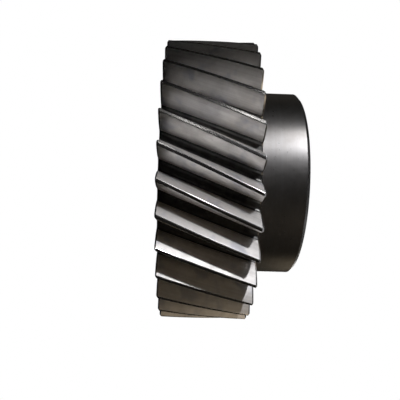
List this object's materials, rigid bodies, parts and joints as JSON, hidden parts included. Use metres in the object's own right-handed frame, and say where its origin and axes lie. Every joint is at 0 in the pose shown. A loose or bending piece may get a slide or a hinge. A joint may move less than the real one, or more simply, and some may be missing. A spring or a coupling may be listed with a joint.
{
  "type": "helical gear",
  "caption": "Right-hand helical gear of ground steel with deep slender teeth, a plain round hub on the front side and a keyed through bore for a shaft.",
  "frame": {"origin": "on the axis of the bore, in the plane of the rear face that the gear stands on", "axes": "+Z along the bore from the rear face towards the hub; a tooth is centred on +X at the rear face, and the keyway is on +Y"},
  "size_m": [0.148, 0.148, 0.068],
  "materials": {
    "gear_steel": "ground flanks, fine-turned crests, hub and faces, lightly oiled, dark and semi-bright"
  },
  "bodies": {
    "root": {"helical_gear": "gear_steel"}
  },
  "joints": []
}
